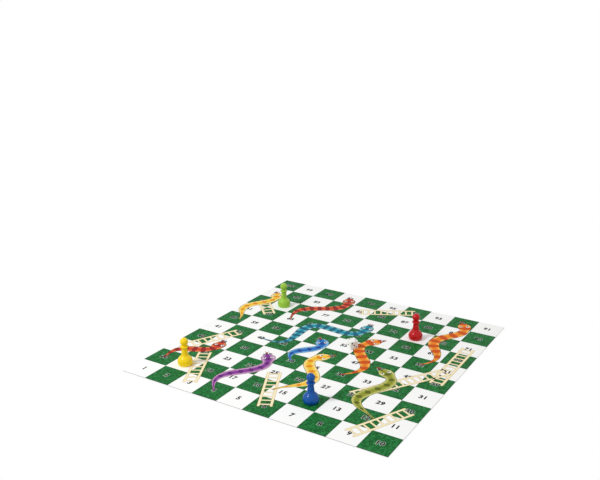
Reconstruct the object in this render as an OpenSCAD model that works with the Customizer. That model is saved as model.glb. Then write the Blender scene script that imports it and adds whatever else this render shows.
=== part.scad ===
// Folding snakes and ladders board with four playing pawns and a die.
// The square sheet is laminated from three layers and creased into eight panels. It lies flat, and the
// pawns and the die stand on its printed face. Lengths are millimetres.
// Origin: centre of the sheet's underside. X runs right along the front edge, Y to the back, Z up.

/* [Board] */
// Side of one playing square
square_side = 25; // [15:0.5:40]
// Playing squares along each side of the board
squares = 10; // [8:2:12]
// Thickness of the printed face film
face_t = 0.1; // [0.05:0.01:0.3]
// Thickness of the flexible magnetic core
core_t = 0.2; // [0.1:0.05:1]
// Thickness of the backing film
backing_t = 0.1; // [0.05:0.01:0.3]
// Width of the soft crease between two panels
crease_w = 0.1; // [0.06:0.01:0.5]

/* [Pawn] */
// Height of a pawn from its foot to the top of its head
pawn_h = 25; // [22:0.5:40]
// Width of the ball head
head_d = 7; // [5.5:0.1:8.5]
// Width of the collar under the head
collar_d = 7.2; // [6:0.1:10]
// Thickness of the collar
collar_t = 1.5; // [0.8:0.1:2.5]
// Depth of the collar's middle below the top of the head
collar_drop = 8.1; // [7:0.1:10]
// Width of the neck, where the stem meets the collar
neck_d = 4.4; // [3:0.1:5.5]
// Lean of the stem's side, in degrees from upright
stem_lean = 6; // [1:0.5:8]
// Radius of the hollow flare between the stem and the bell
flare_r = 3; // [1.5:0.1:4]
// Greatest width of the bell
bell_d = 13; // [11.5:0.1:16]
// Distance between the centres of the bell's two rounded sides, seen from the front
bell_core_d = 1.8; // [0.4:0.1:2.8]

/* [Pawn base] */
// Width of the disc magnet
magnet_d = 7; // [5:0.1:8]
// Thickness of the disc magnet
magnet_t = 2; // [1:0.1:3]
// How far the base pad reaches past the magnet all round
pad_margin = 0.7; // [0.4:0.1:1.2]
// Thickness of the base pad
pad_t = 0.5; // [0.3:0.1:1]
// Width of the bell's foot round the base pad
rim_w = 1.15; // [0.5:0.05:1.2]
// Gap all round the magnet and the base pad in their seats
seat_gap = 0.05; // [0.02:0.01:0.15]

/* [Die] */
// Side of the die
die_side = 8; // [7:0.1:14]
// Radius of the die's rounded edges
die_edge_r = 0.8; // [0.4:0.1:1.2]
// Width of a pip
pip_d = 1.5; // [1:0.1:2]
// Depth of a pip's hollow
pip_depth = 0.3; // [0.1:0.05:0.5]
// Distance from one row of pips to the next
pip_pitch = 2; // [1.6:0.1:2.4]

/* [Hidden] */
$fn = 96;
// How far a cut runs past the face that it opens
overrun = 0.5;

COLUMNS = ["left_outer", "left_inner", "right_inner", "right_outer"];
ROWS = ["front", "back"];
PAWNS = ["yellow", "blue", "red", "green"];
PAWN_PAINTS = ["#F2C20C", "#0B4FAE", "#C8141F", "#6DBB3A"];
// Where each pawn stands, in squares from the board's front left corner
pawn_square_shares = [[1.52, 1.42], [6.6, 1.45], [7.48, 7.35], [1.55, 7.47]];
// Where the die lies, in the same way, and how far it is turned about its upright axis, in degrees
die_square_shares = [5.84, 5.49];
die_turn = -34;
// Turn that carries each face of the die to its side, from one pip to six. Opposite faces add up to seven.
DIE_FACE_TURNS = [[90, 0, 0], [0, 0, 0], [0, 90, 0], [0, -90, 0], [180, 0, 0], [-90, 0, 0]];
// Places of the pips on each face, in pip pitches from its middle
pip_pitch_shares = [
    [[0, 0]],
    [[-1, -1], [1, 1]],
    [[-1, -1], [0, 0], [1, 1]],
    [[-1, -1], [-1, 1], [1, -1], [1, 1]],
    [[-1, -1], [-1, 1], [0, 0], [1, -1], [1, 1]],
    [[-1, -1], [-1, 0], [-1, 1], [1, -1], [1, 0], [1, 1]]
];

// Sheet
board_side = square_side * squares;
panel_w = board_side / len(COLUMNS);
panel_l = board_side / len(ROWS);
core_z = backing_t;
face_z = backing_t + core_t;
sheet_t = backing_t + core_t + face_t;

// Pawn, measured from the bottom of its foot
head_r = head_d / 2;
head_z = pawn_h - head_r;
collar_z = pawn_h - collar_drop;
collar_edge_r = collar_t / 2;
neck_r = neck_d / 2;
pad_r = magnet_d / 2 + pad_margin;
foot_r = pad_r + seat_gap + rim_w;
bell_r = bell_d / 2;
bell_core_r = bell_core_d / 2;
bell_side_r = bell_r - bell_core_r;
bell_z = sqrt(pow(bell_side_r, 2) - pow(foot_r - bell_core_r, 2));

// The flare is a hollow arc that touches the stem's side and the bell's. Its places are radius and height
// from the centre of the bell's rounded side, which lies bell_core_r from the pawn's axis.
stem_down = [sin(stem_lean), -cos(stem_lean)];
stem_out = [cos(stem_lean), sin(stem_lean)];
neck_place = [neck_r - bell_core_r, collar_z - bell_z];
flare_start = neck_place + flare_r * stem_out;
flare_reach = bell_side_r + flare_r;
flare_nearest = -flare_start * stem_down;
flare_span = sqrt(pow(flare_reach, 2) - flare_start * flare_start + pow(flare_nearest, 2));
stem_l = flare_nearest - flare_span;
flare_axis = flare_start + stem_l * stem_down;
flare_top = neck_place + stem_l * stem_down;
flare_foot = flare_axis * bell_side_r / flare_reach;

// Die, measured from its middle
die_half = die_side / 2;
die_inner = die_half - die_edge_r;
die_ball_r = norm([die_inner, die_inner, die_inner]) + die_edge_r;
pip_ball_r = (pow(pip_d / 2, 2) + pow(pip_depth, 2)) / (2 * pip_depth);

// Ends of panel number i on one side of the board, with half a crease left free at each inner end
function panel_start(i, length) = i * length - board_side / 2 + (i == 0 ? 0 : crease_w / 2);
function panel_end(i, length, count) =
    (i + 1) * length - board_side / 2 - (i == count - 1 ? 0 : crease_w / 2);

// One layer of one panel
module panel_layer(row, column, z, thickness) {
    x0 = panel_start(column, panel_w);
    y0 = panel_start(row, panel_l);
    x1 = panel_end(column, panel_w, len(COLUMNS));
    y1 = panel_end(row, panel_l, len(ROWS));
    translate([x0, y0, z])
        cube([x1 - x0, y1 - y0, thickness]);
}

module face_film(row, column) {
    color("#F7F8F6") panel_layer(row, column, face_z, face_t);
}

module magnetic_core(row, column) {
    color("#3A3A3C") panel_layer(row, column, core_z, core_t);
}

module backing_film(row, column) {
    color("#E9EAE8") panel_layer(row, column, 0, backing_t);
}

// Carries what stands on the board to a place in squares from its front left corner
module on_board(square_shares) {
    place = square_shares * square_side;
    translate([place[0] - board_side / 2, place[1] - board_side / 2, sheet_t])
        children();
}

// Right half of the pawn's outline, from its axis outwards
module pawn_outline() {
    translate([bell_core_r, bell_z]) {
        intersection() {
            circle(r = bell_side_r);
            translate([0, -bell_z])
                square([bell_side_r, bell_z + flare_foot[1]]);
        }
        difference() {
            polygon([[0, flare_foot[1]], flare_foot, flare_top, [0, flare_top[1]]]);
            translate(flare_axis)
                circle(r = flare_r);
        }
        polygon([[0, flare_top[1]], flare_top, neck_place, [0, neck_place[1]]]);
    }
    square([neck_r, head_z]);
    translate([0, collar_z - collar_edge_r])
        square([collar_d / 2 - collar_edge_r, collar_t]);
    translate([collar_d / 2 - collar_edge_r, collar_z])
        circle(r = collar_edge_r);
    intersection() {
        translate([0, head_z])
            circle(r = head_r);
        square([head_r, pawn_h]);
    }
}

// Moulded body, with a stepped seat for the magnet and the pad in its foot
module pawn_body(i) {
    color(PAWN_PAINTS[i]) on_board(pawn_square_shares[i]) difference() {
        rotate_extrude() pawn_outline();
        translate([0, 0, -overrun])
            cylinder(r = pad_r + seat_gap, h = pad_t + overrun);
        translate([0, 0, -overrun])
            cylinder(r = magnet_d / 2 + seat_gap, h = pad_t + magnet_t + seat_gap + overrun);
    }
}

module pawn_magnet(i) {
    color("#B9BCC0") on_board(pawn_square_shares[i])
        translate([0, 0, pad_t])
            cylinder(d = magnet_d, h = magnet_t);
}

module pawn_base_pad(i) {
    color("#26272A") on_board(pawn_square_shares[i])
        cylinder(r = pad_r, h = pad_t);
}

// Square bar with rounded edges, as wide as the die
module die_bar() {
    linear_extrude(die_side, center = true) {
        square([die_side, 2 * die_inner], center = true);
        square([2 * die_inner, die_side], center = true);
        for (x = [-die_inner, die_inner], y = [-die_inner, die_inner])
            translate([x, y])
                circle(r = die_edge_r);
    }
}

// Moulded cube with rounded edges and corners, and a round hollow for each pip
module die_cube() {
    color("#F6F6F2") on_board(die_square_shares) rotate(die_turn) translate([0, 0, die_half]) difference() {
        intersection() {
            die_bar();
            rotate([90, 0, 0]) die_bar();
            rotate([0, 90, 0]) die_bar();
            sphere(r = die_ball_r);
        }
        for (face = [0 : len(DIE_FACE_TURNS) - 1])
            rotate(DIE_FACE_TURNS[face])
                translate([0, 0, die_half - pip_depth + pip_ball_r])
                    for (share = pip_pitch_shares[face])
                        translate(share * pip_pitch)
                            sphere(r = pip_ball_r);
    }
}

for (row = [0 : len(ROWS) - 1], column = [0 : len(COLUMNS) - 1]) {
    panel = str(ROWS[row], "_", COLUMNS[column]);
    face_film(row, column);
    magnetic_core(row, column);
    backing_film(row, column);
}
for (i = [0 : len(PAWNS) - 1]) {
    pawn_body(i);
    pawn_magnet(i);
    pawn_base_pad(i);
}
die_cube();
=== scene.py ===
import math

import bpy
from mathutils import Euler, Matrix, Vector


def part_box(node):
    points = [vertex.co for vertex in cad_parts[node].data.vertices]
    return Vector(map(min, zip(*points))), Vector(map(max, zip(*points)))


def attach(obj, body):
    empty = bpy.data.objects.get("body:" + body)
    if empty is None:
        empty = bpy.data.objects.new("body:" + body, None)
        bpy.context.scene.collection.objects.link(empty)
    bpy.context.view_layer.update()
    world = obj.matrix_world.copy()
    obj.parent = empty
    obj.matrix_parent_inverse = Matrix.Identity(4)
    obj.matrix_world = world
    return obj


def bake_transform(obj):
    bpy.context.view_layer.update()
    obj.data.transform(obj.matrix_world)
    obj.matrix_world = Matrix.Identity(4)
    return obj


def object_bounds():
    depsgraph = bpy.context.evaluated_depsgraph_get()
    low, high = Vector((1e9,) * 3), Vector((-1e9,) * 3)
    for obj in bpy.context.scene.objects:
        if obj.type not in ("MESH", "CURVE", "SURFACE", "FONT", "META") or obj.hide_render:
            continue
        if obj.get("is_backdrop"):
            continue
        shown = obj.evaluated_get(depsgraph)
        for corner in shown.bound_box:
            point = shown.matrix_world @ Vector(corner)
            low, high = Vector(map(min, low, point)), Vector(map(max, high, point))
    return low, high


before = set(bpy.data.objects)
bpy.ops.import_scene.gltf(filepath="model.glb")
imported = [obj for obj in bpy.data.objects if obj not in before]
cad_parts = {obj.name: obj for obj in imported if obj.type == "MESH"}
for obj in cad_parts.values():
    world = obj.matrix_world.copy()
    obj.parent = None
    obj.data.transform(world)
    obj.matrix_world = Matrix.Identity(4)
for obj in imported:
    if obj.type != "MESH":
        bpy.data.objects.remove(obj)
cad_low, cad_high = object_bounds()

MM = 0.001

# The sheet and its panels, as the frame gives them
ROWS = ("front", "back")
COLUMNS = ("left_outer", "left_inner", "right_inner", "right_outer")
PAWNS = ("yellow", "blue", "red", "green")
SQUARES = 10
sheet_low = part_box("face_film_front_left_outer")[0]
sheet_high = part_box("face_film_back_right_outer")[1]
SQUARE = (sheet_high.x - sheet_low.x) / SQUARES
FACE_Z = sheet_high.z


def crease_between(panel, next_panel, axis):
    """Place of the crease between two neighbouring panels, along X (0) or Y (1)."""
    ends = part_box(f"face_film_{panel}")[1][axis]
    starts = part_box(f"face_film_{next_panel}")[0][axis]
    return (ends + starts) / 2


CREASE_X = [crease_between(f"front_{a}", f"front_{b}", 0) for a, b in zip(COLUMNS, COLUMNS[1:])]
CREASE_Y = crease_between("front_left_inner", "back_left_inner", 1)
PANEL_X = [sheet_low.x, *CREASE_X, sheet_high.x]
PANEL_Y = [sheet_low.y, CREASE_Y, sheet_high.y]

# The print is laid down in coats, one above the other. They are so thin that they stay clear of each other
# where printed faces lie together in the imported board. The first two keep the print above the bare film and
# the crease strips.
COAT = 0.0025 * MM
COATS = (
    "bare", "crease", "number_edge", "number", "ladder_edge", "ladder",
    "snake_edge", "snake", "mark", "pupil",
)


def coat_z(coat):
    """Height of the underside of one coat of the print."""
    return FACE_Z + COATS.index(coat) * COAT


def square_centre(number):
    """Middle of a numbered square: the count runs right along the first row and back along the next."""
    row, step = divmod(number - 1, SQUARES)
    column = step if row % 2 == 0 else SQUARES - 1 - step
    return Vector((sheet_low.x + (column + 0.5) * SQUARE, sheet_low.y + (row + 0.5) * SQUARE, 0))


# Small helpers for working by hand


def select_only(*objects):
    """Selects these pieces and nothing else, and works on the first of them."""
    bpy.ops.object.select_all(action="DESELECT")
    for piece in objects:
        piece.select_set(True)
    bpy.context.view_layer.objects.active = objects[0]


def named(piece, name):
    """Names a piece and its mesh."""
    piece.name = name
    piece.data.name = name
    return piece


def joined(name, pieces):
    """Makes one piece of several."""
    select_only(*pieces)
    bpy.ops.object.join()
    return named(bpy.context.object, name)


def apply_place(piece):
    """Puts a piece's place, turn and size into its mesh, so that it sits at the origin."""
    select_only(piece)
    bpy.ops.object.transform_apply(location=True, rotation=True, scale=True)


def apply_modifiers(piece):
    """Makes a piece's modifiers part of its mesh."""
    select_only(piece)
    for modifier in list(piece.modifiers):
        bpy.ops.object.modifier_apply(modifier=modifier.name)


def raise_sheet(sheet, thickness):
    """Closes an open sheet into a thin solid that stands up from its own face."""
    layer = sheet.modifiers.new("layer", "SOLIDIFY")
    layer.thickness = thickness
    layer.offset = 1
    apply_modifiers(sheet)


# Camera at the photograph's viewing angle, even light and a white ground

CAMERA_PLACE = (320.23 * MM, -533.69 * MM, 301.5 * MM)
CAMERA_TURN = math.radians(30.581)
CAMERA_DIP = math.radians(17.737)
CAMERA_LENS = 45.48
CAMERA_SHIFT = -0.05
CAMERA_NEAR = 10 * MM

bpy.ops.object.select_all(action="DESELECT")
bpy.ops.object.camera_add(location=CAMERA_PLACE, rotation=(math.pi / 2 - CAMERA_DIP, 0, CAMERA_TURN))
camera = bpy.context.object
camera.data.lens = CAMERA_LENS
camera.data.shift_x = CAMERA_SHIFT
camera.data.clip_start = CAMERA_NEAR
bpy.context.scene.camera = camera
bpy.context.scene.view_settings.view_transform = "Standard"


def linear(code):
    """An sRGB hex colour as linear red, green, blue and alpha."""
    channels = [int(code[i:i + 2], 16) / 255 for i in (1, 3, 5)]
    return (*[c / 12.92 if c <= 0.04045 else ((c + 0.055) / 1.055) ** 2.4 for c in channels], 1.0)


def add_node(tree, kind, inputs=None, **settings):
    """Adds a node with its settings. inputs holds a value, or another node's output, for each socket."""
    node = tree.nodes.new(kind)
    for name, value in settings.items():
        setattr(node, name, value)
    for socket, value in (inputs or {}).items():
        if isinstance(value, bpy.types.NodeSocket):
            tree.links.new(value, node.inputs[socket])
        else:
            node.inputs[socket].default_value = value
    return node


# Sockets of a Mix node that mixes colours
SHARE, FIRST, SECOND = 0, 6, 7
MIXED = 2


def new_material(name):
    """A new material with its node tree and its shader."""
    material = bpy.data.materials.new(name)
    material.use_nodes = True
    return material, material.node_tree, material.node_tree.nodes["Principled BSDF"]


def seen_directly(tree):
    """1 for a ray that shows the background to the camera, straight or in a reflection."""
    path = add_node(tree, "ShaderNodeLightPath")
    mirrored = add_node(tree, "ShaderNodeMath", {
        0: path.outputs["Is Glossy Ray"],
        1: path.outputs["Is Transmission Ray"],
    }, operation="MAXIMUM")
    seen = add_node(tree, "ShaderNodeMath", {
        0: path.outputs["Is Camera Ray"],
        1: mirrored.outputs[0],
    }, operation="MAXIMUM")
    return seen.outputs[0]


AMBIENT = 0.68
world = bpy.data.worlds.new("white_studio")
world.use_nodes = True
bpy.context.scene.world = world
tree = world.node_tree
tree.nodes.clear()
ambient = add_node(tree, "ShaderNodeBackground", {"Color": linear("#FFFFFF"), "Strength": AMBIENT})
backdrop = add_node(tree, "ShaderNodeBackground", {"Color": linear("#FFFFFF"), "Strength": 1.0})
studio = add_node(tree, "ShaderNodeMixShader", {
    0: seen_directly(tree),
    1: ambient.outputs[0],
    2: backdrop.outputs[0],
})
add_node(tree, "ShaderNodeOutputWorld", {"Surface": studio.outputs[0]})

# A soft box above the viewer's left shoulder
LAMP_PLACE = Vector((-450 * MM, -700 * MM, 900 * MM))
LAMP_SIZE = 240 * MM
LAMP_WATTS = 6.6
bpy.ops.object.light_add(type="AREA", location=LAMP_PLACE)
lamp = bpy.context.object
lamp.data.size = LAMP_SIZE
lamp.data.energy = LAMP_WATTS
lamp.rotation_euler = (-LAMP_PLACE).to_track_quat("-Z", "Y").to_euler()

# The ground lets the white backdrop through and keeps only the contact shadow of what stands on it
FLOOR_SIZE = 4000 * MM
FLOOR_DROP = 0.02 * MM
SHADOW_REACH = 15 * MM
SHADOW_SAMPLES = 16
bpy.ops.mesh.primitive_plane_add(size=FLOOR_SIZE, location=(0, 0, cad_low.z - FLOOR_DROP))
floor = named(bpy.context.object, "floor")
floor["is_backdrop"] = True
material, tree, _ = new_material("white_ground")
tree.nodes.clear()
shade = add_node(tree, "ShaderNodeAmbientOcclusion", {"Distance": SHADOW_REACH}, samples=SHADOW_SAMPLES)
tone = add_node(tree, "ShaderNodeMix", {
    SHARE: shade.outputs["AO"],
    FIRST: linear("#B4B4B6"),
    SECOND: linear("#FFFFFF"),
}, data_type="RGBA")
clear = add_node(tree, "ShaderNodeBsdfTransparent", {"Color": tone.outputs[MIXED]})
add_node(tree, "ShaderNodeOutputMaterial", {"Surface": clear.outputs[0]})
floor.data.materials.append(material)


# Materials

# Sizes of their patterns. The grass is drawn as coarse as it needs to show in the render.
GRASS_BLADE = 2.2 * MM
GRASS_FLECK = 1.1 * MM
RIM_INK = 0.4 * MM
RIM_FADE = 0.7 * MM
FILM_CLOUD = 40 * MM
LAMINATE_GRAIN = 0.4 * MM
LAMINATE_RELIEF = 0.02 * MM
INK_PATCH = 2.5 * MM
SNAKE_SCALE = 1.4 * MM
FERRITE_GRAIN = 0.3 * MM
EMBOSSING = 0.8 * MM
EMBOSSING_RELIEF = 0.03 * MM
BACKING_CLOUD = 30 * MM
FLOW_MARK = 4 * MM
MOULD_RIPPLE = 1.5 * MM
RIPPLE_RELIEF = 0.05 * MM
PLATING_PIT = 0.5 * MM
FOAM_PORE = 0.4 * MM
PORE_RELIEF = 0.1 * MM
# The matt laminate mutes the reflections of the film and of every ink under it
LAMINATE_SPECULAR = 0.07
POLYSTYRENE_IOR = 1.59
POLYSTYRENE_SPECULAR = 0.2
# How fast a mark on a snake's back narrows towards its flanks
DIAMOND_TAPER = 0.75
BAND_TAPER = 0.12


def grass_green(tree, in_squares):
    """The green of the squares: fine blades of grass, darker flecks between them, and a darker rim."""
    blades = add_node(tree, "ShaderNodeTexNoise", {
        "Vector": in_squares,
        "Scale": SQUARE / GRASS_BLADE,
        "Detail": 5.0,
        "Roughness": 0.75,
        "Distortion": 1.2,
    })
    grass = add_node(tree, "ShaderNodeValToRGB", {0: blades.outputs[0]})
    ramp = grass.color_ramp
    ramp.elements[0].position = 0.34
    ramp.elements[0].color = linear("#063A18")
    ramp.elements[1].position = 0.68
    ramp.elements[1].color = linear("#3C9A56")
    ramp.elements.new(0.5).color = linear("#0E6429")
    flecks = add_node(tree, "ShaderNodeTexVoronoi", {"Vector": in_squares, "Scale": SQUARE / GRASS_FLECK})
    fleck_share = add_node(tree, "ShaderNodeMapRange", {
        "Value": flecks.outputs["Distance"],
        "From Min": 0.12,
        "From Max": 0.32,
        "To Min": 0.35,
        "To Max": 0.0,
    })
    flecked = add_node(tree, "ShaderNodeMix", {
        SHARE: fleck_share.outputs[0],
        FIRST: grass.outputs[0],
        SECOND: linear("#0B4A22"),
    }, data_type="RGBA")

    # The rim fades out inwards from the nearest edge of the square
    axes = add_node(tree, "ShaderNodeSeparateXYZ", {0: in_squares})
    across = add_node(tree, "ShaderNodeMath", {0: axes.outputs["X"], 1: 0.5}, operation="PINGPONG")
    along = add_node(tree, "ShaderNodeMath", {0: axes.outputs["Y"], 1: 0.5}, operation="PINGPONG")
    edge = add_node(tree, "ShaderNodeMath", {
        0: across.outputs[0],
        1: along.outputs[0],
    }, operation="MINIMUM")
    rim_share = add_node(tree, "ShaderNodeMapRange", {
        "Value": edge.outputs[0],
        "From Min": RIM_INK / SQUARE,
        "From Max": RIM_FADE / SQUARE,
        "To Min": 0.7,
        "To Max": 0.0,
    })
    rimmed = add_node(tree, "ShaderNodeMix", {
        SHARE: rim_share.outputs[0],
        FIRST: flecked.outputs[MIXED],
        SECOND: linear("#0A4420"),
    }, data_type="RGBA")
    return rimmed.outputs[MIXED]


def printed_film(name, from_uv):
    """Offset-printed PET film with a matt laminate: crisp squares, a grassy green and a broad low gloss.
    Object coordinates place the squares on the flat panels, and the crease strips carry the same places,
    counted in squares, in their UV map."""
    material, tree, shader = new_material(name)
    place = add_node(tree, "ShaderNodeTexCoord")
    if from_uv:
        in_squares = place.outputs["UV"]
    else:
        in_squares = add_node(tree, "ShaderNodeMapping", {
            "Vector": place.outputs["Object"],
            "Location": (-sheet_low.x / SQUARE, -sheet_low.y / SQUARE, 0),
            "Scale": (1 / SQUARE, 1 / SQUARE, 0),
        }).outputs[0]
    # All patterns are read in one level plane, in the middle of a layer of the checker
    flat = add_node(tree, "ShaderNodeVectorMath", {
        0: in_squares,
        1: (1, 1, 0),
        2: (0, 0, 0.5),
    }, operation="MULTIPLY_ADD").outputs[0]
    checker = add_node(tree, "ShaderNodeTexChecker", {
        "Vector": flat,
        "Color1": (1, 1, 1, 1),
        "Color2": (0, 0, 0, 1),
        "Scale": 1.0,
    })

    # Bare film between the inked squares, with a faint cloudiness a few centimetres across
    cloud = add_node(tree, "ShaderNodeTexNoise", {
        "Vector": flat,
        "Scale": SQUARE / FILM_CLOUD,
        "Detail": 2.0,
    })
    paper = add_node(tree, "ShaderNodeMix", {
        SHARE: cloud.outputs[0],
        FIRST: linear("#F4F5F4"),
        SECOND: linear("#FBFBF9"),
    }, data_type="RGBA")
    colour = add_node(tree, "ShaderNodeMix", {
        SHARE: checker.outputs["Fac"],
        FIRST: paper.outputs[MIXED],
        SECOND: grass_green(tree, flat),
    }, data_type="RGBA")
    tree.links.new(colour.outputs[MIXED], shader.inputs["Base Color"])

    # The laminate has a fine grain that breaks up its gloss
    grain = add_node(tree, "ShaderNodeTexNoise", {
        "Vector": flat,
        "Scale": SQUARE / LAMINATE_GRAIN,
        "Detail": 2.0,
    })
    roughness = add_node(tree, "ShaderNodeMapRange", {
        "Value": grain.outputs[0],
        "To Min": 0.42,
        "To Max": 0.58,
    })
    bump = add_node(tree, "ShaderNodeBump", {
        "Height": grain.outputs[0],
        "Strength": 0.08,
        "Distance": LAMINATE_RELIEF,
    })
    tree.links.new(roughness.outputs[0], shader.inputs["Roughness"])
    tree.links.new(bump.outputs[0], shader.inputs["Normal"])
    shader.inputs["Specular IOR Level"].default_value = LAMINATE_SPECULAR
    return material


def plain_ink(name, colour, thin_colour):
    """Screen-printed ink under the matt laminate: one flat colour that thins a little in small patches."""
    material, tree, shader = new_material(name)
    place = add_node(tree, "ShaderNodeTexCoord")
    patches = add_node(tree, "ShaderNodeTexNoise", {
        "Vector": place.outputs["Object"],
        "Scale": 1 / INK_PATCH,
        "Detail": 3.0,
    })
    tint = add_node(tree, "ShaderNodeMix", {
        SHARE: patches.outputs[0],
        FIRST: linear(colour),
        SECOND: linear(thin_colour),
    }, data_type="RGBA")
    roughness = add_node(tree, "ShaderNodeMapRange", {
        "Value": patches.outputs[0],
        "To Min": 0.44,
        "To Max": 0.56,
    })
    tree.links.new(tint.outputs[MIXED], shader.inputs["Base Color"])
    tree.links.new(roughness.outputs[0], shader.inputs["Roughness"])
    shader.inputs["Specular IOR Level"].default_value = LAMINATE_SPECULAR
    return material


def snake_skin(name, back, belly, marks, pitch, diamonds):
    """Printed snake skin: a back that fades to paler flanks, with cross bands or diamonds along it and
    small scales. It reads the snake's own UV map, which counts millimetres along the body and runs from
    -1 to 1 across it."""
    material, tree, shader = new_material(name)
    place = add_node(tree, "ShaderNodeTexCoord")
    axes = add_node(tree, "ShaderNodeSeparateXYZ", {0: place.outputs["UV"]})
    flank = add_node(tree, "ShaderNodeMath", {0: axes.outputs["Y"]}, operation="ABSOLUTE")

    # The marks repeat every pitch millimetres, and reach across the back
    beat = add_node(tree, "ShaderNodeMath", {0: axes.outputs["X"], 1: pitch / 2}, operation="PINGPONG")
    beat_share = add_node(tree, "ShaderNodeMath", {0: beat.outputs[0], 1: 2 / pitch}, operation="MULTIPLY")
    narrowed = add_node(tree, "ShaderNodeMath", {
        0: flank.outputs[0],
        1: DIAMOND_TAPER if diamonds else BAND_TAPER,
        2: beat_share.outputs[0],
    }, operation="MULTIPLY_ADD")
    mark_share = add_node(tree, "ShaderNodeMapRange", {
        "Value": narrowed.outputs[0],
        "From Min": 0.50,
        "From Max": 0.62,
        "To Min": 1.0,
        "To Max": 0.0,
    })

    scales = add_node(tree, "ShaderNodeTexVoronoi", {
        "Vector": place.outputs["Object"],
        "Scale": 1 / SNAKE_SCALE,
    })
    belly_share = add_node(tree, "ShaderNodeMapRange", {
        "Value": flank.outputs[0],
        "From Min": 0.35,
        "From Max": 1.0,
    })
    body = add_node(tree, "ShaderNodeMix", {
        SHARE: belly_share.outputs[0],
        FIRST: linear(back),
        SECOND: linear(belly),
    }, data_type="RGBA")
    marked = add_node(tree, "ShaderNodeMix", {
        SHARE: mark_share.outputs[0],
        FIRST: body.outputs[MIXED],
        SECOND: linear(marks),
    }, data_type="RGBA")
    scale_share = add_node(tree, "ShaderNodeMapRange", {
        "Value": scales.outputs["Distance"],
        "From Min": 0.2,
        "From Max": 0.8,
        "To Min": 0.0,
        "To Max": 0.35,
    })
    scaled = add_node(tree, "ShaderNodeMix", {
        SHARE: scale_share.outputs[0],
        FIRST: marked.outputs[MIXED],
        SECOND: linear(marks),
    }, data_type="RGBA")
    tree.links.new(scaled.outputs[MIXED], shader.inputs["Base Color"])
    shader.inputs["Roughness"].default_value = 0.5
    shader.inputs["Specular IOR Level"].default_value = LAMINATE_SPECULAR
    return material


def magnetic_rubber():
    """Calendered magnetic rubber: near-black, matt, with a fine rolled grain of ferrite powder."""
    material, tree, shader = new_material("magnetic_rubber")
    place = add_node(tree, "ShaderNodeTexCoord")
    powder = add_node(tree, "ShaderNodeTexNoise", {
        "Vector": place.outputs["Object"],
        "Scale": 1 / FERRITE_GRAIN,
        "Detail": 4.0,
    })
    tint = add_node(tree, "ShaderNodeMix", {
        SHARE: powder.outputs[0],
        FIRST: linear("#4A4A4D"),
        SECOND: linear("#77787B"),
    }, data_type="RGBA")
    tree.links.new(tint.outputs[MIXED], shader.inputs["Base Color"])
    shader.inputs["Roughness"].default_value = 0.75
    return material


def backing_film():
    """Plain white vinyl backing: satin, slightly cloudy, with a fine embossing that shows as a sheen."""
    material, tree, shader = new_material("backing_film")
    place = add_node(tree, "ShaderNodeTexCoord")
    emboss = add_node(tree, "ShaderNodeTexVoronoi", {
        "Vector": place.outputs["Object"],
        "Scale": 1 / EMBOSSING,
    })
    cloud = add_node(tree, "ShaderNodeTexNoise", {
        "Vector": place.outputs["Object"],
        "Scale": 1 / BACKING_CLOUD,
        "Detail": 3.0,
    })
    tint = add_node(tree, "ShaderNodeMix", {
        SHARE: cloud.outputs[0],
        FIRST: linear("#DEDFDD"),
        SECOND: linear("#EDEEEC"),
    }, data_type="RGBA")
    bump = add_node(tree, "ShaderNodeBump", {
        "Height": emboss.outputs["Distance"],
        "Strength": 0.25,
        "Distance": EMBOSSING_RELIEF,
    })
    tree.links.new(tint.outputs[MIXED], shader.inputs["Base Color"])
    tree.links.new(bump.outputs[0], shader.inputs["Normal"])
    shader.inputs["Roughness"].default_value = 0.5
    return material


def moulded_plastic(name, colour, deep_colour):
    """Injection-moulded polystyrene: strong even colour, bright gloss, and the faint flow marks and ripple
    of the mould that bend its highlights."""
    material, tree, shader = new_material(name)
    place = add_node(tree, "ShaderNodeTexCoord")
    flow = add_node(tree, "ShaderNodeTexNoise", {
        "Vector": place.outputs["Object"],
        "Scale": 1 / FLOW_MARK,
        "Detail": 3.0,
        "Distortion": 0.6,
    })
    tint = add_node(tree, "ShaderNodeMix", {
        SHARE: flow.outputs[0],
        FIRST: linear(deep_colour),
        SECOND: linear(colour),
    }, data_type="RGBA")
    roughness = add_node(tree, "ShaderNodeMapRange", {
        "Value": flow.outputs[0],
        "To Min": 0.14,
        "To Max": 0.24,
    })
    ripple = add_node(tree, "ShaderNodeTexNoise", {
        "Vector": place.outputs["Object"],
        "Scale": 1 / MOULD_RIPPLE,
        "Detail": 1.0,
    })
    bump = add_node(tree, "ShaderNodeBump", {
        "Height": ripple.outputs[0],
        "Strength": 0.06,
        "Distance": RIPPLE_RELIEF,
    })
    tree.links.new(tint.outputs[MIXED], shader.inputs["Base Color"])
    tree.links.new(roughness.outputs[0], shader.inputs["Roughness"])
    tree.links.new(bump.outputs[0], shader.inputs["Normal"])
    shader.inputs["IOR"].default_value = POLYSTYRENE_IOR
    shader.inputs["Specular IOR Level"].default_value = POLYSTYRENE_SPECULAR
    return material


def nickel_plate():
    """Nickel-plated magnet: bright metal with the soft pitting of a tumbled blank."""
    material, tree, shader = new_material("nickel_plate")
    place = add_node(tree, "ShaderNodeTexCoord")
    pits = add_node(tree, "ShaderNodeTexNoise", {
        "Vector": place.outputs["Object"],
        "Scale": 1 / PLATING_PIT,
        "Detail": 3.0,
    })
    roughness = add_node(tree, "ShaderNodeMapRange", {
        "Value": pits.outputs[0],
        "To Min": 0.2,
        "To Max": 0.4,
    })
    tree.links.new(roughness.outputs[0], shader.inputs["Roughness"])
    shader.inputs["Base Color"].default_value = linear("#C9C6BE")
    shader.inputs["Metallic"].default_value = 1.0
    return material


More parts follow.
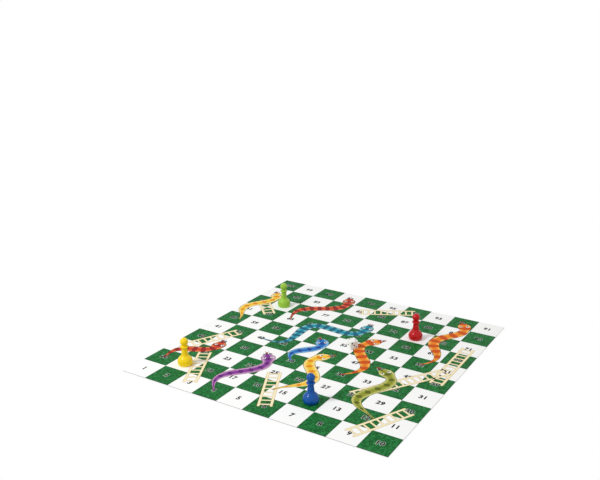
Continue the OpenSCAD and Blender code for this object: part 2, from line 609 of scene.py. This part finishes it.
def foam_pad():
    """Self-adhesive foam rubber: charcoal, matt, with open pores."""
    material, tree, shader = new_material("foam_pad")
    place = add_node(tree, "ShaderNodeTexCoord")
    pores = add_node(tree, "ShaderNodeTexVoronoi", {
        "Vector": place.outputs["Object"],
        "Scale": 1 / FOAM_PORE,
    })
    tint = add_node(tree, "ShaderNodeMix", {
        SHARE: pores.outputs["Distance"],
        FIRST: linear("#1D1E20"),
        SECOND: linear("#3B3C3F"),
    }, data_type="RGBA")
    bump = add_node(tree, "ShaderNodeBump", {
        "Height": pores.outputs["Distance"],
        "Strength": 0.6,
        "Distance": PORE_RELIEF,
    })
    tree.links.new(tint.outputs[MIXED], shader.inputs["Base Color"])
    tree.links.new(bump.outputs[0], shader.inputs["Normal"])
    shader.inputs["Roughness"].default_value = 0.9
    return material


FILM = printed_film("printed_film", from_uv=False)
CREASE_FILM = printed_film("printed_crease_film", from_uv=True)
RUBBER = magnetic_rubber()
BACKING = backing_film()
NICKEL = nickel_plate()
FOAM = foam_pad()
PLASTICS = {
    "yellow": moulded_plastic("yellow_polystyrene", "#FBDA0C", "#F5CE08"),
    "blue": moulded_plastic("blue_polystyrene", "#0656A8", "#044A98"),
    "red": moulded_plastic("red_polystyrene", "#C60C16", "#B4080F"),
    "green": moulded_plastic("green_polystyrene", "#9FCB44", "#90BE36"),
}
DIE_PLASTIC = moulded_plastic("white_polystyrene", "#F6F6F3", "#EDEDE8")
PIP_PAINT = plain_ink("pip_paint", "#0B0B0D", "#151518")
BLACK_INK = plain_ink("black_ink", "#101114", "#1D1E22")
PALE_INK = plain_ink("pale_ink", "#E2EEE0", "#D0E2D0")
RAIL_INK = plain_ink("cream_ink", "#FAF0CE", "#F1E0AE")
RAIL_EDGE_INK = plain_ink("tan_ink", "#B08848", "#9A7236")
SNAKE_EDGE_INK = plain_ink("umber_ink", "#3A2A1E", "#4A382A")
EYE_INK = plain_ink("white_ink", "#FBFBF6", "#F2F2EC")
TONGUE_INK = plain_ink("crimson_ink", "#C01A2A", "#A81422")
SKINS = {
    "blue": snake_skin("blue_snake_ink", "#1E6FC0", "#8CCBEE", "#123E8A", 9, True),
    "orange": snake_skin("orange_snake_ink", "#F08A1C", "#FAD36A", "#C8500E", 11, False),
    "red": snake_skin("red_snake_ink", "#D2452A", "#F0A060", "#8E1F1C", 8, False),
    "purple": snake_skin("purple_snake_ink", "#8A3A96", "#E6B6D8", "#5A1E6C", 9, True),
    "olive": snake_skin("olive_snake_ink", "#93992C", "#DEDD86", "#5C6318", 10, True),
    "teal": snake_skin("teal_snake_ink", "#1C93A8", "#9ADCE0", "#0C5F78", 8, False),
    "yellow": snake_skin("yellow_snake_ink", "#F3C832", "#FBEFA6", "#DD8A16", 10, True),
}


# Numbers

NUMBER_H = 5.0 * MM
# Height of a digit in Blender's own font, as a share of the font's size
DIGIT_SHARE = 0.73
# How far a digit swells all round, as the same share: in black ink, and in the pale ink that edges it
BOLD_SHARE = 0.045
EDGE_SHARE = 0.085
DIGIT_SPACING = 1.08
DIGIT_CURVE_STEPS = 3


def printed_number(number, coat, swell_share, ink):
    """One number, flat in the middle of its square and swollen all round by a share of its size."""
    bpy.ops.object.select_all(action="DESELECT")
    bpy.ops.object.text_add()
    label = bpy.context.object
    label.data.body = str(number)
    label.data.align_x = "CENTER"
    label.data.align_y = "CENTER"
    label.data.size = NUMBER_H / DIGIT_SHARE
    label.data.space_character = DIGIT_SPACING
    label.data.offset = swell_share * label.data.size
    label.data.resolution_u = DIGIT_CURVE_STEPS
    label.data.materials.append(ink)
    bpy.ops.object.convert(target="MESH")
    label = bpy.context.object
    label.location = square_centre(number) + Vector((0, 0, coat_z(coat)))
    apply_place(label)
    return label


def clean_outlines(sheet):
    """Evens out the triangles of flat lettering, and parts it where a swollen outline crosses itself, so
    that each bit closes on its own."""
    select_only(sheet)
    bpy.ops.object.mode_set(mode="EDIT")
    bpy.ops.mesh.select_all(action="SELECT")
    bpy.ops.mesh.beautify_fill()
    bpy.ops.mesh.select_mode(type="EDGE")
    bpy.ops.mesh.select_non_manifold(
        extend=False, use_wire=False, use_boundary=False, use_multi_face=True,
        use_non_contiguous=True, use_verts=False,
    )
    bpy.ops.mesh.edge_split()
    bpy.ops.mesh.select_mode(type="VERT")
    bpy.ops.object.mode_set(mode="OBJECT")


# Even numbers lie on green, where a pale edge sets them off
labels = []
for number in range(1, SQUARES * SQUARES + 1):
    labels.append(printed_number(number, "number", BOLD_SHARE, BLACK_INK))
    if number % 2 == 0:
        labels.append(printed_number(number, "number_edge", EDGE_SHARE, PALE_INK))
numbers = joined("numbers", labels)
clean_outlines(numbers)


# Ladders

LADDER_W = 12 * MM
RAIL_W = 1.9 * MM
RUNG_W = 1.5 * MM
RUNG_PITCH = 6 * MM
LADDER_EDGE = 0.25 * MM
# A rung lies a little below the rails, so that they don't share a plane where they cross
RUNG_DROP = COAT / 4
BAR_CORNER_SHARE = 0.3
BAR_CORNER_STEPS = 3
# Foot and head square of each ladder
LADDERS = ((3, 22), (9, 30), (21, 42), (50, 71), (85, 94), (6, 25), (28, 51), (62, 80))


def printed_bar(length, width, place, grow):
    """A flat bar along X, grown all round for its outline, with slightly rounded corners."""
    bpy.ops.object.select_all(action="DESELECT")
    bpy.ops.mesh.primitive_plane_add(size=1, location=place)
    bar = bpy.context.object
    bar.scale = (length + 2 * grow, width + 2 * grow, 1)
    apply_place(bar)
    bpy.ops.object.mode_set(mode="EDIT")
    bpy.ops.mesh.select_all(action="SELECT")
    corner = BAR_CORNER_SHARE * (width + 2 * grow)
    bpy.ops.mesh.bevel(offset=corner, segments=BAR_CORNER_STEPS, affect="VERTICES")
    bpy.ops.object.mode_set(mode="OBJECT")
    return bar


def printed_ladder(foot, head, coat, grow, ink):
    """Two rails and their rungs, modelled along X and then turned into place between two squares."""
    start, end = square_centre(foot), square_centre(head)
    length = (end - start).length
    rungs = int(length / RUNG_PITCH)
    rail_side = LADDER_W / 2 - RAIL_W / 2
    bars = [printed_bar(length, RAIL_W, (length / 2, side * rail_side, 0), grow) for side in (-1, 1)]
    for i in range(rungs):
        rung = printed_bar(2 * rail_side, RUNG_W, (0, 0, 0), grow)
        rung.rotation_euler.z = math.pi / 2
        rung.location = ((i + 0.5) * length / rungs, 0, -RUNG_DROP)
        apply_place(rung)
        bars.append(rung)
    ladder = joined("ladder", bars)
    ladder.data.materials.append(ink)
    ladder.rotation_euler.z = math.atan2(end.y - start.y, end.x - start.x)
    ladder.location = start + Vector((0, 0, coat_z(coat)))
    apply_place(ladder)
    return ladder


ladder_coats = []
for foot, head in LADDERS:
    ladder_coats.append(printed_ladder(foot, head, "ladder_edge", LADDER_EDGE, RAIL_EDGE_INK))
    ladder_coats.append(printed_ladder(foot, head, "ladder", 0, RAIL_INK))
ladders = joined("ladders", ladder_coats)


# Snakes

# Half width of a snake's head and neck at distances from its snout, in millimetres
HEAD_OUTLINE = ((0, 1.4), (1.8, 4.0), (6, 6.1), (10.5, 5.9), (16, 4.0), (27, 4.9))
# Least length of the even trunk between the neck and the tail
TRUNK_LEAST = 1 * MM
TAIL_SHARE = 0.45
TAIL_TIP = 0.5 * MM
SNAKE_EDGE = 0.4 * MM
EYE_BACK = 7.0 * MM
EYE_SIDE = 3.3 * MM
EYE_R = 1.5 * MM
PUPIL_R = 0.85 * MM
PUPIL_FORWARD = 0.4 * MM
DOT_CORNERS = 20
# The tongue's stem and tines: their lengths and places as shares of its length, and their widths
TONGUE_L = 6 * MM
STEM_SHARE = 0.6
STEM_PLACE_SHARE = 0.25
STEM_W = 0.7 * MM
TINE_SHARE = 0.45
TINE_PLACE_SHARE = 0.72
TINE_W = 0.55 * MM
TINE_SIDE = 0.9 * MM
TINE_SPREAD = math.radians(-24)
# How finely a snake's path and its body are divided
POINTS_PER_WAVE = 8
PATH_STEPS = 24
BODY_STEPS = 120
BODY_STRIPS = 6
# Head and tail square, waves along the body, sway to the side in squares, and skin
SNAKES = (
    (37, 4, 1.0, 0.42, "purple"),
    (46, 15, 1.2, -0.40, "yellow"),
    (48, 12, 1.1, 0.45, "olive"),
    (92, 52, 1.5, 0.30, "orange"),
    (97, 63, 1.0, 0.45, "red"),
    (75, 43, 1.5, 0.55, "teal"),
    (81, 60, 1.2, 0.28, "yellow"),
    (67, 34, 1.0, -0.45, "orange"),
    (39, 20, 1.0, 0.30, "red"),
    (56, 36, 1.0, 0.30, "blue"),
)


def half_width(distance, length):
    """Half width of a snake at a distance from its snout, eased between the points of its outline."""
    tail_start = length * (1 - TAIL_SHARE)
    points = [(s * MM, w * MM) for s, w in HEAD_OUTLINE]
    neck, neck_half_width = points[-1]
    points += [(max(tail_start, neck + TRUNK_LEAST), neck_half_width), (length, TAIL_TIP)]
    distance = min(max(distance, 0), length)
    for (s0, w0), (s1, w1) in zip(points, points[1:]):
        if distance <= s1:
            share = (distance - s0) / (s1 - s0)
            return w0 + (w1 - w0) * share * share * (3 - 2 * share)
    return points[-1][1]


def snake_path(head, tail, waves, sway):
    """A smooth curve that weaves from the head's square to the tail's."""
    start, end = square_centre(head), square_centre(tail)
    side = Vector((start.y - end.y, end.x - start.x, 0)).normalized()
    steps = round(POINTS_PER_WAVE * waves)
    bpy.ops.object.select_all(action="DESELECT")
    bpy.ops.curve.primitive_bezier_curve_add()
    path = bpy.context.object
    points = path.data.splines[0].bezier_points
    points.add(steps - 1)
    for i, point in enumerate(points):
        share = i / steps
        weave = math.sin(2 * math.pi * waves * share) * sway * SQUARE
        point.co = start + (end - start) * share + side * weave
        point.handle_left_type = "AUTO"
        point.handle_right_type = "AUTO"
    path.data.dimensions = "2D"
    path.data.resolution_u = PATH_STEPS
    return path


def snake_ribbon(path, length, coat, grow, ink):
    """The snake's flat body, modelled straight along X and bent along its path."""
    bpy.ops.object.select_all(action="DESELECT")
    bpy.ops.mesh.primitive_grid_add(x_subdivisions=BODY_STEPS, y_subdivisions=BODY_STRIPS, size=1)
    ribbon = bpy.context.object
    for vertex in ribbon.data.vertices:
        distance = (vertex.co.x + 0.5) * (length + 2 * grow) - grow
        vertex.co.x = distance
        vertex.co.y *= 2 * (half_width(distance, length) + grow)
    for corner in ribbon.data.uv_layers.active.data:
        corner.uv = (corner.uv.x * length / MM, 2 * corner.uv.y - 1)
    return bent(ribbon, path, coat, ink)


def bent(flat, path, coat, ink):
    """Bends a flat piece along a snake's path and lays it down at the height of its coat."""
    flat.data.materials.append(ink)
    bend = flat.modifiers.new("bend", "CURVE")
    bend.object = path
    bend.deform_axis = "POS_X"
    apply_modifiers(flat)
    flat.location.z = coat_z(coat)
    apply_place(flat)
    return flat


def printed_dot(path, radius, back, side, coat, ink):
    """A round dot on the snake's head."""
    bpy.ops.object.select_all(action="DESELECT")
    bpy.ops.mesh.primitive_circle_add(
        vertices=DOT_CORNERS, radius=radius, fill_type="NGON", location=(back, side, 0),
    )
    dot = bpy.context.object
    apply_place(dot)
    return bent(dot, path, coat, ink)


def printed_tongue(path):
    """A thin forked tongue in front of the snout."""
    stem = printed_bar(TONGUE_L * STEM_SHARE, STEM_W, (-TONGUE_L * STEM_PLACE_SHARE, 0, 0), 0)
    tines = []
    for side in (-1, 1):
        tine = printed_bar(TONGUE_L * TINE_SHARE, TINE_W, (0, 0, 0), 0)
        tine.rotation_euler.z = side * TINE_SPREAD
        tine.location = (-TONGUE_L * TINE_PLACE_SHARE, side * TINE_SIDE, 0)
        apply_place(tine)
        tines.append(tine)
    return bent(joined("tongue", [stem, *tines]), path, "snake_edge", TONGUE_INK)


snake_coats = []
for head, tail, waves, sway, skin in SNAKES:
    path = snake_path(head, tail, waves, sway)
    length = path.data.splines[0].calc_length()
    snake_coats.append(snake_ribbon(path, length, "snake_edge", SNAKE_EDGE, SNAKE_EDGE_INK))
    snake_coats.append(snake_ribbon(path, length, "snake", 0, SKINS[skin]))
    snake_coats.append(printed_tongue(path))
    for side in (-EYE_SIDE, EYE_SIDE):
        snake_coats.append(printed_dot(path, EYE_R, EYE_BACK, side, "mark", EYE_INK))
        snake_coats.append(printed_dot(path, PUPIL_R, EYE_BACK - PUPIL_FORWARD, side, "pupil", BLACK_INK))
    bpy.data.objects.remove(path)
snakes = joined("snakes", snake_coats)


# The print is cut along the creases while it is flat, and each part of it rides on its own panel

# Half the gap that is left at a cut, so that neighbours part cleanly
CUT_BACK = 0.005 * MM
# What lies as near to a cut as this counts as on it
CUT_EXACTNESS = 0.0001 * MM


def cut_off(piece, place, outwards):
    """Removes what lies past a plane."""
    select_only(piece)
    bpy.ops.object.mode_set(mode="EDIT")
    bpy.ops.mesh.select_all(action="SELECT")
    bpy.ops.mesh.bisect(plane_co=place, plane_no=outwards, clear_outer=True, threshold=CUT_EXACTNESS)
    bpy.ops.object.mode_set(mode="OBJECT")


for artwork in (numbers, ladders, snakes):
    for j, row in enumerate(ROWS):
        for i, column in enumerate(COLUMNS):
            part = artwork.copy()
            part.data = artwork.data.copy()
            bpy.context.collection.objects.link(part)
            cut_off(part, (PANEL_X[i] + CUT_BACK, 0, 0), (-1, 0, 0))
            cut_off(part, (PANEL_X[i + 1] - CUT_BACK, 0, 0), (1, 0, 0))
            cut_off(part, (0, PANEL_Y[j] + CUT_BACK, 0), (0, -1, 0))
            cut_off(part, (0, PANEL_Y[j + 1] - CUT_BACK, 0), (0, 1, 0))
            raise_sheet(part, COAT)
            named(part, f"printed_{artwork.name}_{row}_{column}")
            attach(part, f"{row}_{column}")
    bpy.data.objects.remove(artwork)


# Creases: a narrow strip of film covers each fold. Where the fold has a joint the strip is left unattached,
# and where the fold has none it rides on the front panel.

CREASE_REACH = 0.15 * MM
STRIP_STEPS = 16


def crease_strip(name, low, high, crossing):
    """A strip of printed film over a crease, from one corner to the other, divided across the crease."""
    bpy.ops.object.select_all(action="DESELECT")
    divisions = (STRIP_STEPS, 1) if crossing == "X" else (1, STRIP_STEPS)
    bpy.ops.mesh.primitive_grid_add(x_subdivisions=divisions[0], y_subdivisions=divisions[1], size=1)
    strip = named(bpy.context.object, name)
    strip.scale = (high[0] - low[0], high[1] - low[1], 1)
    strip.location = ((low[0] + high[0]) / 2, (low[1] + high[1]) / 2, FACE_Z)
    apply_place(strip)
    for corner, loop in zip(strip.data.uv_layers.active.data, strip.data.loops):
        place = strip.data.vertices[loop.vertex_index].co
        corner.uv = ((place.x - sheet_low.x) / SQUARE, (place.y - sheet_low.y) / SQUARE)
    raise_sheet(strip, COAT / 2)
    strip.data.materials.append(CREASE_FILM)
    return strip


for j, row in enumerate(ROWS):
    for i, x in enumerate(CREASE_X):
        strip = crease_strip(
            f"crease_{row}_{COLUMNS[i]}_{COLUMNS[i + 1]}",
            (x - CREASE_REACH, PANEL_Y[j] + CUT_BACK), (x + CREASE_REACH, PANEL_Y[j + 1] - CUT_BACK), "X",
        )
        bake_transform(strip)
for i, column in enumerate(COLUMNS):
    low = (PANEL_X[i] + CREASE_REACH, CREASE_Y - CREASE_REACH)
    high = (PANEL_X[i + 1] - CREASE_REACH, CREASE_Y + CREASE_REACH)
    if column == "left_inner":
        strip = crease_strip(f"crease_half_{column}", low, high, "Y")
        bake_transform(strip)
    else:
        strip = crease_strip(f"crease_half_{column}", low, (high[0], CREASE_Y - CUT_BACK), "Y")
        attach(strip, f"front_{column}")


# The paint in the die's pips. Their sizes and places repeat those of the solid.

PIP_D = 1.5 * MM
PIP_DEPTH = 0.3 * MM
PIP_PITCH = 2 * MM
PAINT_T = 0.05 * MM
PIP_SEGMENTS = 24
PIP_RINGS = 32
DIE_TURN = math.radians(-34)
RIGHT = math.pi / 2
# Turn that carries each face to its side of the die, and the places of its pips in pitches, for one to six
DIE_FACES = (
    ((RIGHT, 0, 0), ((0, 0),)),
    ((0, 0, 0), ((-1, -1), (1, 1))),
    ((0, RIGHT, 0), ((-1, -1), (0, 0), (1, 1))),
    ((0, -RIGHT, 0), ((-1, -1), (-1, 1), (1, -1), (1, 1))),
    ((2 * RIGHT, 0, 0), ((-1, -1), (-1, 1), (0, 0), (1, -1), (1, 1))),
    ((-RIGHT, 0, 0), ((-1, -1), (-1, 0), (-1, 1), (1, -1), (1, 0), (1, 1))),
)


def pip_paint():
    """A thin coat of paint on one pip's round hollow, below the plane of the face."""
    ball_r = (PIP_D * PIP_D / 4 + PIP_DEPTH * PIP_DEPTH) / (2 * PIP_DEPTH)
    bpy.ops.object.select_all(action="DESELECT")
    bpy.ops.mesh.primitive_uv_sphere_add(
        segments=PIP_SEGMENTS, ring_count=PIP_RINGS, radius=ball_r, location=(0, 0, ball_r - PIP_DEPTH),
    )
    coat = bpy.context.object
    apply_place(coat)
    cut_off(coat, (0, 0, -PAINT_T), (0, 0, 1))
    bpy.ops.object.mode_set(mode="EDIT")
    bpy.ops.mesh.select_all(action="SELECT")
    bpy.ops.mesh.flip_normals()
    bpy.ops.object.mode_set(mode="OBJECT")
    raise_sheet(coat, PAINT_T)
    coat.data.materials.append(PIP_PAINT)
    return coat


die_low, die_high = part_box("die_cube")
die_half = (die_high.z - die_low.z) / 2
die_place = Matrix.Translation((die_low + die_high) / 2) @ Matrix.Rotation(DIE_TURN, 4, "Z")
first_pip = pip_paint()
pips = []
for turn, places in DIE_FACES:
    for across, along in places:
        pip = first_pip.copy()
        pip.data = first_pip.data.copy()
        bpy.context.collection.objects.link(pip)
        on_face = Matrix.Translation((across * PIP_PITCH, along * PIP_PITCH, die_half))
        pip.matrix_world = die_place @ Euler(turn).to_matrix().to_4x4() @ on_face
        apply_place(pip)
        pips.append(pip)
bpy.data.objects.remove(first_pip)
paint = joined("die_pip_paint", pips)
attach(paint, "die")


# Finishes of the solid pieces


def finish_node(name, material):
    """Gives a solid piece its material."""
    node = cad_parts[name]
    node.data.materials.clear()
    node.data.materials.append(material)


for row in ROWS:
    for column in COLUMNS:
        finish_node(f"face_film_{row}_{column}", FILM)
        finish_node(f"magnetic_core_{row}_{column}", RUBBER)
        finish_node(f"backing_film_{row}_{column}", BACKING)
for colour in PAWNS:
    finish_node(f"{colour}_pawn_body", PLASTICS[colour])
    finish_node(f"{colour}_pawn_magnet", NICKEL)
    finish_node(f"{colour}_pawn_base_pad", FOAM)
finish_node("die_cube", DIE_PLASTIC)

low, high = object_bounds()
